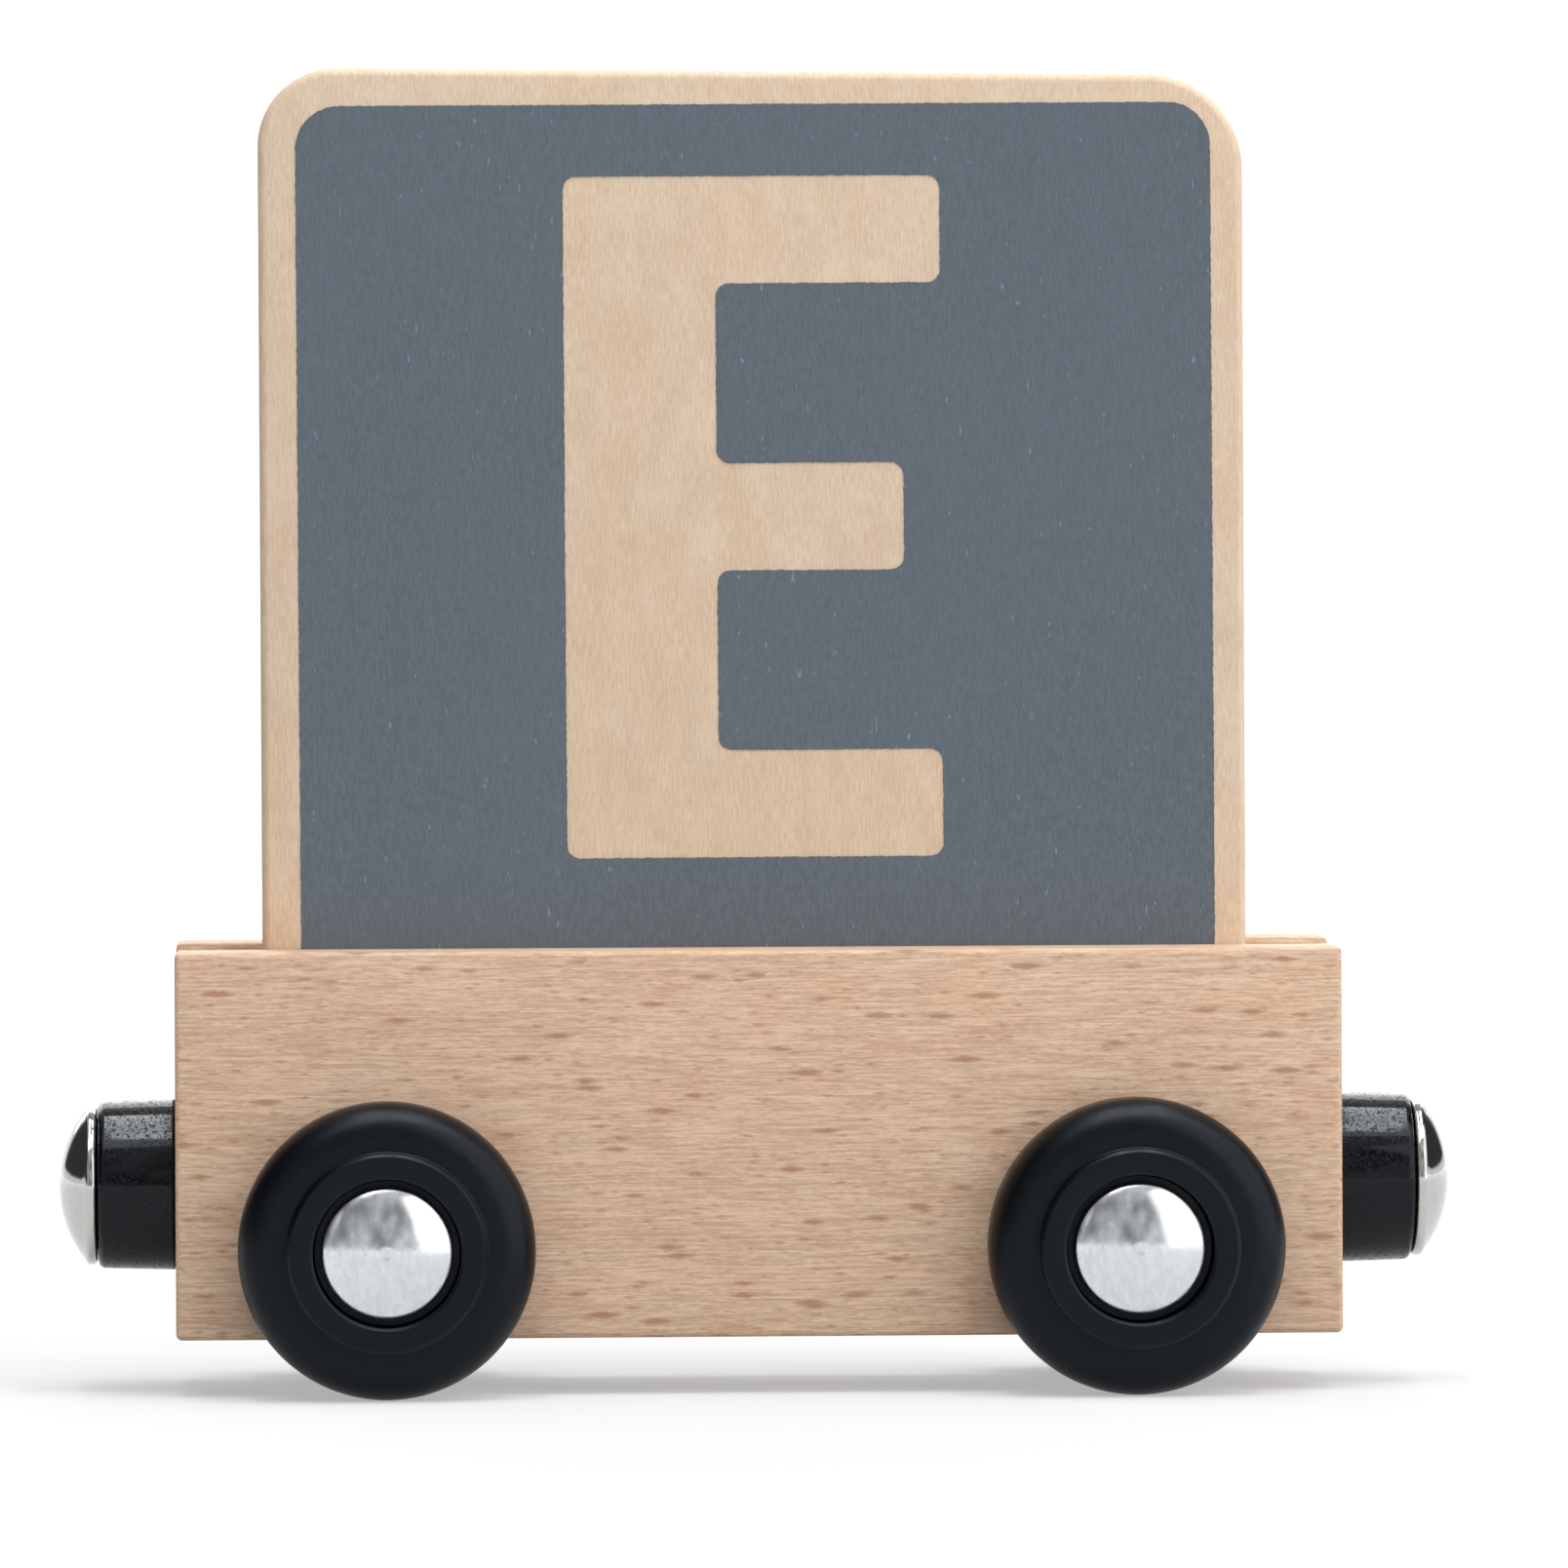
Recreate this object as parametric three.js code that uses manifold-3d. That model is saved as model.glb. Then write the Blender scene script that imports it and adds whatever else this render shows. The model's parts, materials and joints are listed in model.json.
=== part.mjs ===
// A wooden toy train wagon that carries one letter of the alphabet on an upright board.
// A grooved beech block holds the board, two steel axles with four turned wheels, and a
// magnetic coupler nailed to each end. Sizes are in millimetres. X runs along the wagon,
// Y from the lettered face to the back and Z up, from the floor under the wagon's middle.

import * as THREE from "three";
import { mergeVertices } from "three/addons/utils/BufferGeometryUtils.js";
import Module from "manifold-3d";

const wasm = await Module();
wasm.setup();

// Chassis block, cut from a grooved moulding
const BLOCK_LENGTH = 80;
const BLOCK_THICKNESS = 18;
const BLOCK_HEIGHT = 26.85;
const BLOCK_EDGE_ROUND = 0.4;
const GROOVE_DEPTH = 9;

// Letter board of three plies, glued into the groove
const BOARD_WIDTH = 68;
const BOARD_STAND = 60.35;
const BOARD_CORNER_RADIUS = 6;
const BOARD_EDGE_ROUND = 0.6;
const FACE_PLY = 0.9;
const CORE_PLY = 2.2;
const GLUE_GAP = 0.15;

// Clearance round a rod or nail in its hole, and endwise between faces that turn
const FIT_GAP = 0.3;
const RUNNING_GAP = 0.3;

// Axles
const AXLE_RADIUS = 2;
const AXLE_CHAMFER = 0.3;
const AXLE_ABOVE_UNDERSIDE = 6.25;
const AXLE_FROM_END = 14.4;

// Wheels, sized outwards from the recess that sinks the hub cap
const RECESS_RADIUS = 5.05;
const RECESS_DEPTH = 1.8;
const BOSS_WALL = 1.75;
const BOSS_HEIGHT = 1.1;
const BOSS_EDGE = 0.25;
const BOSS_FOOT_ROUND = 0.2;
const FACE_WIDTH = 0.95;
const RIM_ROUND = 2.4;
const TREAD_WIDTH = 5;
const BACK_ROUND = 0.9;
const INNER_HUB_WALL = 2.3;
const INNER_HUB_LENGTH = 0.7;

// Hub caps, pushed on the ends of the axles
const HUB_CAP_MARGIN = 0.6;
const HUB_CAP_RIM_HEIGHT = 1;
const HUB_CAP_CROWN_HEIGHT = 1;
const HUB_CAP_ROUND = 0.2;
const HUB_CAP_GRIP = 1.2;

// Couplers: a cup that holds a ring magnet and turns on a dome-headed nail
const COUPLER_ABOVE_UNDERSIDE = 10.25;
const SLEEVE_BASE_RADIUS = 5.9;
const SLEEVE_TIP_RADIUS = 5.75;
const SLEEVE_LENGTH = 4.8;
const SLEEVE_WALL = 1.15;
const SLEEVE_FLOOR = 1;
const SLEEVE_BASE_CHAMFER = 0.3;
const SLEEVE_TIP_ROUND = 0.5;
const HEAD_RADIUS = 5.5;
const HEAD_RIM_HEIGHT = 0.75;
const HEAD_CROWN_HEIGHT = 1.95;
const HEAD_ROUND = 0.25;
const HEAD_TIP_FLAT = 0.9;
const NAIL_RADIUS = 1.25;
const NAIL_BITE = 11;
const NAIL_POINT = 2;

// How far the round at a dome's edge turns before the crown takes over, in degrees
const DOME_EDGE_TURN = 60;

// Facets
const WHEEL_STEPS = 36;
const SMALL_STEPS = 24;
const CORNER_STEPS = 6;
const EDGE_STEPS = 2;

// Values that follow from the sizes above
const boreRadius = AXLE_RADIUS + FIT_GAP;
const bossRadius = RECESS_RADIUS + BOSS_WALL;
const wheelRadius = bossRadius + FACE_WIDTH + RIM_ROUND;
const axleHeight = wheelRadius;
const axlePlace = BLOCK_LENGTH / 2 - AXLE_FROM_END;
const undersideHeight = axleHeight - AXLE_ABOVE_UNDERSIDE;
const blockTop = undersideHeight + BLOCK_HEIGHT;
const grooveFloor = blockTop - GROOVE_DEPTH;
const couplerHeight = undersideHeight + COUPLER_ABOVE_UNDERSIDE;
const boardThickness = 2 * FACE_PLY + CORE_PLY;
const grooveWidth = boardThickness + 2 * GLUE_GAP;
const boardFoot = grooveFloor + GLUE_GAP;
const boardHeight = blockTop + BOARD_STAND - boardFoot;

// Wheel places, measured outwards from the face of the block
const wheelBack = RUNNING_GAP + INNER_HUB_LENGTH;
const wheelFace = wheelBack + TREAD_WIDTH;
const bossFace = wheelFace + BOSS_HEIGHT;
const recessFloor = bossFace - RECESS_DEPTH;
const capSeat = recessFloor + RUNNING_GAP;
const axleEnd = capSeat + HUB_CAP_GRIP;

// Coupler places, measured outwards from the end of the block
const sleeveBase = RUNNING_GAP;
const sleeveTip = sleeveBase + SLEEVE_LENGTH;
const headSeat = sleeveTip + RUNNING_GAP;
const nailHole = NAIL_RADIUS + FIT_GAP;

const beech = { color: 0xd0b197, roughness: 0.62, metalness: 0 };
const facePly = { color: 0xd8c2aa, roughness: 0.66, metalness: 0 };
const corePly = { color: 0xc9ac8c, roughness: 0.72, metalness: 0 };
const blackPlastic = { color: 0x1f2125, roughness: 0.38, metalness: 0 };
const axleSteel = { color: 0xa8abae, roughness: 0.35, metalness: 1 };
const nickel = { color: 0xd4d6d8, roughness: 0.16, metalness: 1 };
const ferrite = { color: 0x3a3a3c, roughness: 0.7, metalness: 0.1 };

// Closed geometry and solids

function solidFrom(geometry) {
  const bare = geometry.index ? geometry.toNonIndexed() : geometry.clone();
  bare.deleteAttribute("normal");
  bare.deleteAttribute("uv");
  const merged = mergeVertices(bare, 1e-4);
  return new wasm.Manifold(
    new wasm.Mesh({
      numProp: 3,
      vertProperties: merged.attributes.position.array,
      triVerts: new Uint32Array(merged.index.array),
    }),
  );
}

function geometryFrom(solid) {
  const mesh = solid.getMesh();
  const geometry = new THREE.BufferGeometry();
  geometry.setAttribute("position", new THREE.BufferAttribute(mesh.vertProperties, 3));
  geometry.setIndex(new THREE.BufferAttribute(mesh.triVerts, 1));
  geometry.computeVertexNormals();
  return geometry;
}

function boxSolid(size, centre) {
  return solidFrom(new THREE.BoxGeometry(...size).translate(...centre));
}

// A rectangle with round corners, centred on the origin.
function roundedRectangle(width, height, radius) {
  const x = width / 2 - radius;
  const y = height / 2 - radius;
  const shape = new THREE.Shape();
  shape.absarc(x, -y, radius, -Math.PI / 2, 0);
  shape.absarc(x, y, radius, 0, Math.PI / 2);
  shape.absarc(-x, y, radius, Math.PI / 2, Math.PI);
  shape.absarc(-x, -y, radius, Math.PI, 1.5 * Math.PI);
  shape.closePath();
  return shape;
}

// A shape drawn in the plane of two axes and extruded along the third, centred on it.
const AXES = {
  x: new THREE.Vector3(1, 0, 0),
  y: new THREE.Vector3(0, 1, 0),
  z: new THREE.Vector3(0, 0, 1),
};
function prism(shape, across, up, depth, curveSegments, bevel = {}) {
  const plain = { depth, curveSegments, bevelEnabled: false };
  const geometry = new THREE.ExtrudeGeometry(shape, { ...plain, ...bevel });
  const along = AXES[across].clone().cross(AXES[up]);
  geometry.translate(0, 0, -depth / 2);
  return geometry.applyMatrix4(new THREE.Matrix4().makeBasis(AXES[across], AXES[up], along));
}

// A turned piece: the profile's points are [radius, distance along the axis], and the axis is
// Y. Facets touch the true radius with their middles, and one of them faces straight down.
function turned(profile, steps) {
  const toCorner = 1 / Math.cos(Math.PI / steps);
  const points = profile.map(([r, along]) => new THREE.Vector2(r * toCorner, along));
  return new THREE.LatheGeometry(points, steps, Math.PI / steps);
}

// Points of an arc on a profile, from one angle to another in degrees.
function arc(r, along, radius, from, to, steps) {
  return Array.from({ length: steps + 1 }, (_, i) => {
    const angle = THREE.MathUtils.degToRad(from + ((to - from) * i) / steps);
    return [r + radius * Math.cos(angle), along + radius * Math.sin(angle)];
  });
}

// Points of a shallow dome of a given edge radius and crown height, from its edge inwards to
// a small flat at the tip.
function crown(edgeRadius, base, height, tipFlat, steps) {
  const ball = (edgeRadius ** 2 + height ** 2) / (2 * height);
  const rise = (r) => base + Math.sqrt(ball ** 2 - r ** 2) - (ball - height);
  return Array.from({ length: steps + 1 }, (_, i) => {
    const r = edgeRadius + ((tipFlat - edgeRadius) * i) / steps;
    return [r, i === steps ? base + height : rise(r)];
  });
}

function part(name, geometry, finish) {
  const mesh = new THREE.Mesh(geometry, new THREE.MeshStandardMaterial(finish));
  mesh.name = name;
  return mesh;
}

// Chassis block with its groove, axle bores and nail holes

function chassisBlock() {
  const middle = undersideHeight + BLOCK_HEIGHT / 2;
  const section = roundedRectangle(BLOCK_THICKNESS, BLOCK_HEIGHT, BLOCK_EDGE_ROUND);
  const side = roundedRectangle(BLOCK_LENGTH, BLOCK_HEIGHT, BLOCK_EDGE_ROUND);
  const plan = roundedRectangle(BLOCK_LENGTH, BLOCK_THICKNESS, BLOCK_EDGE_ROUND);
  let block = solidFrom(prism(section, "y", "z", BLOCK_LENGTH, EDGE_STEPS))
    .intersect(solidFrom(prism(side, "x", "z", BLOCK_THICKNESS, EDGE_STEPS)))
    .intersect(solidFrom(prism(plan, "x", "y", BLOCK_HEIGHT, EDGE_STEPS)))
    .translate([0, 0, middle]);

  const overrun = 1;
  const grooveSize = [BLOCK_LENGTH + 2 * overrun, grooveWidth, GROOVE_DEPTH + overrun];
  block = block.subtract(boxSolid(grooveSize, [0, 0, grooveFloor + grooveSize[2] / 2]));

  for (const end of [-1, 1]) {
    const boreLength = BLOCK_THICKNESS + 2 * overrun;
    const bore = turned(cylinderProfile(boreRadius, -boreLength / 2, boreLength / 2), SMALL_STEPS);
    block = block.subtract(solidFrom(bore.translate(end * axlePlace, 0, axleHeight)));

    const holeDepth = NAIL_BITE + FIT_GAP;
    const hole = turned(cylinderProfile(nailHole, -holeDepth, overrun), SMALL_STEPS);
    hole.rotateZ((-end * Math.PI) / 2);
    block = block.subtract(solidFrom(hole.translate((end * BLOCK_LENGTH) / 2, 0, couplerHeight)));
  }
  return part("chassis_block", geometryFrom(block), beech);
}

function cylinderProfile(radius, from, to) {
  return [
    [0, from],
    [radius, from],
    [radius, to],
    [0, to],
  ];
}

// Letter board: one round-cornered outline with sanded edges, cut into its plies

function letterBoard() {
  const half = BOARD_WIDTH / 2;
  const shoulder = boardHeight - BOARD_CORNER_RADIUS;
  const outline = new THREE.Shape();
  outline.moveTo(-half, 0);
  outline.lineTo(half, 0);
  outline.absarc(half - BOARD_CORNER_RADIUS, shoulder, BOARD_CORNER_RADIUS, 0, Math.PI / 2);
  outline.absarc(BOARD_CORNER_RADIUS - half, shoulder, BOARD_CORNER_RADIUS, Math.PI / 2, Math.PI);
  outline.closePath();

  const round = Math.min(BOARD_EDGE_ROUND, FACE_PLY);
  const sanded = {
    bevelEnabled: true,
    bevelThickness: round,
    bevelSize: round,
    bevelOffset: -round,
    bevelSegments: EDGE_STEPS,
  };
  const flat = boardThickness - 2 * round;
  const board = solidFrom(prism(outline, "x", "z", flat, CORNER_STEPS, sanded));

  const faceMiddle = (CORE_PLY + FACE_PLY) / 2;
  const plies = [
    ["letter_board_front_ply", FACE_PLY, -faceMiddle, facePly],
    ["letter_board_core_ply", CORE_PLY, 0, corePly],
    ["letter_board_back_ply", FACE_PLY, faceMiddle, facePly],
  ];
  const group = new THREE.Group();
  group.position.z = boardFoot;
  for (const [name, thickness, middle, finish] of plies) {
    const slab = boxSolid([2 * BOARD_WIDTH, thickness, 3 * boardHeight], [0, middle, 0]);
    group.add(part(name, geometryFrom(board.intersect(slab)), finish));
  }
  return group;
}

// Axle rod with chamfered ends, reaching into the hub cap on either side

function axle(name) {
  const end = BLOCK_THICKNESS / 2 + axleEnd;
  const profile = [
    [0, -end],
    [AXLE_RADIUS - AXLE_CHAMFER, -end],
    [AXLE_RADIUS, AXLE_CHAMFER - end],
    [AXLE_RADIUS, end - AXLE_CHAMFER],
    [AXLE_RADIUS - AXLE_CHAMFER, end],
    [0, end],
  ];
  return part(name, turned(profile, SMALL_STEPS), axleSteel);
}

// Turned wheel: a short hub towards the block, a round-shouldered rim, a raised boss and the
// recess for the hub cap

function wheel(name) {
  const innerHub = boreRadius + INNER_HUB_WALL;
  const profile = [
    [boreRadius, RUNNING_GAP],
    [innerHub, RUNNING_GAP],
    [innerHub, wheelBack],
    ...arc(wheelRadius - BACK_ROUND, wheelBack + BACK_ROUND, BACK_ROUND, -90, 0, EDGE_STEPS),
    ...arc(wheelRadius - RIM_ROUND, wheelFace - RIM_ROUND, RIM_ROUND, 0, 90, 2 * EDGE_STEPS),
    ...arc(
      bossRadius + BOSS_FOOT_ROUND,
      wheelFace + BOSS_FOOT_ROUND,
      BOSS_FOOT_ROUND,
      -90,
      -180,
      EDGE_STEPS,
    ),
    [bossRadius, bossFace - BOSS_EDGE],
    [bossRadius - BOSS_EDGE, bossFace],
    [RECESS_RADIUS + BOSS_EDGE, bossFace],
    [RECESS_RADIUS, bossFace - BOSS_EDGE],
    [RECESS_RADIUS, recessFloor],
    [boreRadius, recessFloor],
    [boreRadius, RUNNING_GAP],
  ];
  return part(name, turned(profile, WHEEL_STEPS), blackPlastic);
}

// Hub cap: a low dome with a blind socket for the end of the axle

function hubCap(name) {
  const radius = RECESS_RADIUS - HUB_CAP_MARGIN;
  const edge = radius - HUB_CAP_ROUND;
  const rimTop = capSeat + HUB_CAP_RIM_HEIGHT;
  const socket = AXLE_RADIUS + FIT_GAP;
  const profile = [
    [0, axleEnd + FIT_GAP],
    [socket, axleEnd + FIT_GAP],
    [socket, capSeat],
    [radius, capSeat],
    ...arc(edge, rimTop - HUB_CAP_ROUND, HUB_CAP_ROUND, 0, DOME_EDGE_TURN, EDGE_STEPS),
    ...crown(edge, rimTop, HUB_CAP_CROWN_HEIGHT, 0, CORNER_STEPS).slice(1),
  ];
  return part(name, turned(profile, SMALL_STEPS), nickel);
}

// Coupler sleeve: a slightly tapered cup, open outwards, with a hole in its floor for the nail

function couplerSleeve(name) {
  const pocket = SLEEVE_TIP_RADIUS - SLEEVE_WALL;
  const profile = [
    [nailHole, sleeveBase],
    [SLEEVE_BASE_RADIUS - SLEEVE_BASE_CHAMFER, sleeveBase],
    [SLEEVE_BASE_RADIUS, sleeveBase + SLEEVE_BASE_CHAMFER],
    ...arc(
      SLEEVE_TIP_RADIUS - SLEEVE_TIP_ROUND,
      sleeveTip - SLEEVE_TIP_ROUND,
      SLEEVE_TIP_ROUND,
      0,
      90,
      EDGE_STEPS,
    ),
    [pocket, sleeveTip],
    [pocket, sleeveBase + SLEEVE_FLOOR],
    [nailHole, sleeveBase + SLEEVE_FLOOR],
    [nailHole, sleeveBase],
  ];
  return part(name, turned(profile, WHEEL_STEPS), blackPlastic);
}

// Ring magnet that fills the sleeve's pocket

function couplerMagnet(name) {
  const outer = SLEEVE_TIP_RADIUS - SLEEVE_WALL - FIT_GAP;
  const base = sleeveBase + SLEEVE_FLOOR + FIT_GAP;
  const profile = [
    [nailHole, base],
    [outer, base],
    [outer, sleeveTip],
    [nailHole, sleeveTip],
    [nailHole, base],
  ];
  return part(name, turned(profile, SMALL_STEPS), ferrite);
}

// Dome-headed nail on which the sleeve and its magnet turn

function couplerNail(name) {
  const rimTop = headSeat + HEAD_RIM_HEIGHT;
  const edge = HEAD_RADIUS - HEAD_ROUND;
  const profile = [
    [0, -NAIL_BITE],
    [NAIL_RADIUS, NAIL_POINT - NAIL_BITE],
    [NAIL_RADIUS, headSeat],
    ...arc(edge, headSeat + HEAD_ROUND, HEAD_ROUND, -90, 0, EDGE_STEPS),
    ...arc(edge, rimTop - HEAD_ROUND, HEAD_ROUND, 0, DOME_EDGE_TURN, EDGE_STEPS),
    ...crown(edge, rimTop, HEAD_CROWN_HEIGHT, HEAD_TIP_FLAT, CORNER_STEPS).slice(1),
    [0, rimTop + HEAD_CROWN_HEIGHT],
  ];
  return part(name, turned(profile, WHEEL_STEPS), nickel);
}

// Assembly

const wagon = new THREE.Group();
wagon.name = "letter_wagon";
wagon.add(chassisBlock(), letterBoard());

for (const [endName, end] of [
  ["left", -1],
  ["right", 1],
]) {
  const running = new THREE.Group();
  running.position.set(end * axlePlace, 0, axleHeight);
  running.add(axle(`${endName}_axle`));
  for (const [sideName, side] of [
    ["front", -1],
    ["back", 1],
  ]) {
    const corner = new THREE.Group();
    corner.position.y = (side * BLOCK_THICKNESS) / 2;
    corner.rotation.z = side < 0 ? Math.PI : 0;
    corner.add(wheel(`wheel_${sideName}_${endName}`), hubCap(`hub_cap_${sideName}_${endName}`));
    running.add(corner);
  }

  const coupler = new THREE.Group();
  coupler.position.set((end * BLOCK_LENGTH) / 2, 0, couplerHeight);
  coupler.rotation.z = (-end * Math.PI) / 2;
  coupler.add(
    couplerSleeve(`${endName}_coupler_sleeve`),
    couplerMagnet(`${endName}_coupler_magnet`),
    couplerNail(`${endName}_coupler_nail`),
  );
  wagon.add(running, coupler);
}

export default wagon;
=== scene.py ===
"""The looks of a wooden train letter wagon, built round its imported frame."""

import json
import math

import bmesh
import bpy
from bpy.props import FloatProperty, FloatVectorProperty, IntProperty, PointerProperty
from mathutils import Matrix, Vector


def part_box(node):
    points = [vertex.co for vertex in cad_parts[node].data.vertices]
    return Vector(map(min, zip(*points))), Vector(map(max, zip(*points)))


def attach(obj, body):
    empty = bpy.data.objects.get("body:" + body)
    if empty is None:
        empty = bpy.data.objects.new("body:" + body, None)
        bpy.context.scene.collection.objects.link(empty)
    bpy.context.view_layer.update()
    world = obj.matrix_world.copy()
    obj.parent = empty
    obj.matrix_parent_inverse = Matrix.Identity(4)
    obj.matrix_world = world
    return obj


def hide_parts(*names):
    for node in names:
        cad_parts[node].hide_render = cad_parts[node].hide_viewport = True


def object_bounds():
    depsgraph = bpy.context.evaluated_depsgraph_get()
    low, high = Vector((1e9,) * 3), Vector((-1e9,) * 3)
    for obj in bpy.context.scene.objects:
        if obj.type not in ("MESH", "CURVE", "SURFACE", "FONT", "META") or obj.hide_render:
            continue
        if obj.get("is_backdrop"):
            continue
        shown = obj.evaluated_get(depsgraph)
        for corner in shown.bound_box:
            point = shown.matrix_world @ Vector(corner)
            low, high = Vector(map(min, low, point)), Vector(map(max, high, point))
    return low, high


bl_info = {
    "name": "Letter Wagon",
    "version": (1, 0, 0),
    "blender": (4, 5, 0),
    "location": "View3D > Sidebar > Letter Wagon",
    "description": "Dresses a wooden toy train wagon with its wood, print, wheels and couplers",
    "category": "Add Mesh",
}

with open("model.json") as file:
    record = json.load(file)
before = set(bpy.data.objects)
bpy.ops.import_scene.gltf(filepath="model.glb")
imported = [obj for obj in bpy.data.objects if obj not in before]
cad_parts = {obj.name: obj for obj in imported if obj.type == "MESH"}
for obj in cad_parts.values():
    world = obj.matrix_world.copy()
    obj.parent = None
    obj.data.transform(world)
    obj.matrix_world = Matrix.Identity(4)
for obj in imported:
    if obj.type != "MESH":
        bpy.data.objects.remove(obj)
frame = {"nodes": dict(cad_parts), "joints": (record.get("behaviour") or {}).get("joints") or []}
CAD_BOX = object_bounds()

MM = 0.001
PER_MM = 1000.0
FULL_TURN = 2 * math.pi

# Limits of what counts as one place, and of what is shaded as one surface
WELD = 0.0001 * MM
SAME_PLACE = 0.001 * MM
SAME_LEVEL = 0.01 * MM
SMOOTH_DEGREES = 30

# Fillets on the turned pieces, from a broken edge to an easy one
BROKEN_EDGE = 0.05 * MM
FINE_FILLET = 0.1 * MM
SEAT_FILLET = 0.12 * MM
EASY_FILLET = 0.15 * MM
RECESS_FILLET = 0.2 * MM

# Steps round each turned piece
AXLE_STEPS = 48
CAP_STEPS = 96
WHEEL_STEPS = 128
COUPLER_STEPS = 128

# Gloss of the bare and the printed wood, and the range in which most of a noise lies
WOOD_SPECULAR = 0.3
NOISE_RANGE = (0.3, 0.7)

# Sockets of the mix node that take and give colours
MIX_COLOURS = (6, 7)
MIX_RESULT = 2

# Millimetres from the wagon between which the floor turns white
FLOOR_FADE = (60.0, 900.0)

# How the print's edge is divided before it strays
LONGEST_EDGE = 8 * MM
EDGE_HALVINGS = 6

BLOCK_LOW, BLOCK_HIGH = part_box("chassis_block")
BOARD_LOW, BOARD_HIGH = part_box("letter_board_core_ply")
FRONT_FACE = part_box("letter_board_front_ply")[0].y
BACK_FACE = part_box("letter_board_back_ply")[1].y
JOINT_PLACE = {joint["child"]: Vector(joint["pos_m"]) for joint in frame["joints"]}
WAGON_ENDS = (("left", -1), ("right", 1))


def length(name, description, millimetres):
    return FloatProperty(
        name=name,
        description=description,
        default=millimetres * MM,
        min=0.0,
        unit="LENGTH",
        precision=5,
    )


def metres(name, description, value):
    return FloatProperty(name=name, description=description, default=value, unit="LENGTH")


def colour(name, description, red, green, blue):
    return FloatVectorProperty(
        name=name,
        description=description,
        default=(red, green, blue),
        min=0.0,
        max=1.0,
        size=3,
        subtype="COLOR",
    )


def level(name, description, value):
    return FloatProperty(
        name=name, description=description, default=value, min=0.0, max=1.0, subtype="FACTOR"
    )


def angle(name, description, degrees):
    return FloatProperty(
        name=name,
        description=description,
        default=math.radians(degrees),
        subtype="ANGLE",
        unit="ROTATION",
    )


class BlockSettings(bpy.types.PropertyGroup):
    """Sizes and colours of the beech block"""

    edge_round: length("Edge round", "Radius sanded on the outer edges", 0.4)
    groove_depth: length("Groove depth", "Depth of the groove for the board", 9.0)
    groove_gap: length("Groove gap", "Glue gap on either side of the board", 0.15)
    groove_ease: length("Groove ease", "Radius sanded on the edges of the groove", 0.2)
    front_drop: length("Front drop", "How much lower the groove's front wall is sanded", 0.35)
    bore_gap: length("Bore gap", "Clearance round the axles and nails", 0.3)
    light_wood: colour("Light wood", "Beech between the fibres", 0.800, 0.592, 0.430)
    dark_wood: colour("Dark wood", "Beech in the fibres", 0.560, 0.374, 0.252)
    pink_wood: colour("Pink wood", "Tint of the redder patches", 1.000, 0.945, 0.930)
    fleck: colour("Fleck", "Short rays that cross the grain", 0.420, 0.220, 0.130)


class BoardSettings(bpy.types.PropertyGroup):
    """Sizes and colours of the letter board"""

    left_corner: length("Left corner", "Radius of the upper left corner", 5.4)
    right_corner: length("Right corner", "Radius of the upper right corner", 6.6)
    edge_round: length("Edge round", "Radius sanded on the faces' edges", 0.6)
    top_fall: angle("Top fall", "How far the sanded top falls to the right", 0.55)
    veneer_light: colour("Light veneer", "Veneer of the faces", 0.800, 0.647, 0.492)
    veneer_dark: colour("Dark veneer", "Fibres in the veneer", 0.675, 0.515, 0.368)
    veneer_pink: colour("Pink veneer", "Tint of the redder patches", 1.000, 0.970, 0.955)
    veneer_pore: colour("Pores", "Short pores in the veneer", 0.530, 0.365, 0.240)
    core_wood: colour("Core", "Crosswise ply in the middle", 0.560, 0.400, 0.265)


class PrintSettings(bpy.types.PropertyGroup):
    """Sizes and colours of the printed field and its letter"""

    left_margin: length("Left margin", "Bare wood left of the print", 2.60)
    right_margin: length("Right margin", "Bare wood right of the print", 2.25)
    top_margin: length("Top margin", "Bare wood above the print", 2.55)
    corner: length("Corner", "Radius of the print's upper corners", 3.0)
    skew: angle("Skew", "Turn of the print on the board", 0.15)
    film: length("Film", "Thickness of the paint", 0.05)
    ragged: length("Ragged edge", "How far the print's edge strays", 0.03)
    seed: IntProperty(name="Seed", description="Seed of the ragged edge", default=7)
    letter_width: length("Letter width", "Width of the letter", 26.0)
    letter_height: length("Letter height", "Height of the letter", 47.0)
    letter_foot: length("Letter foot", "Height of the letter's foot above the block", 5.85)
    stem: length("Stem", "Width of the letter's stem", 10.5)
    arm: length("Arm", "Height of the letter's arms", 7.4)
    middle_arm_short: length("Middle arm", "How much shorter the middle arm is", 2.6)
    letter_corner: length("Letter corner", "Radius of the letter's corners", 0.9)
    slate: colour("Slate", "Colour of the paint", 0.116, 0.142, 0.173)


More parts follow.
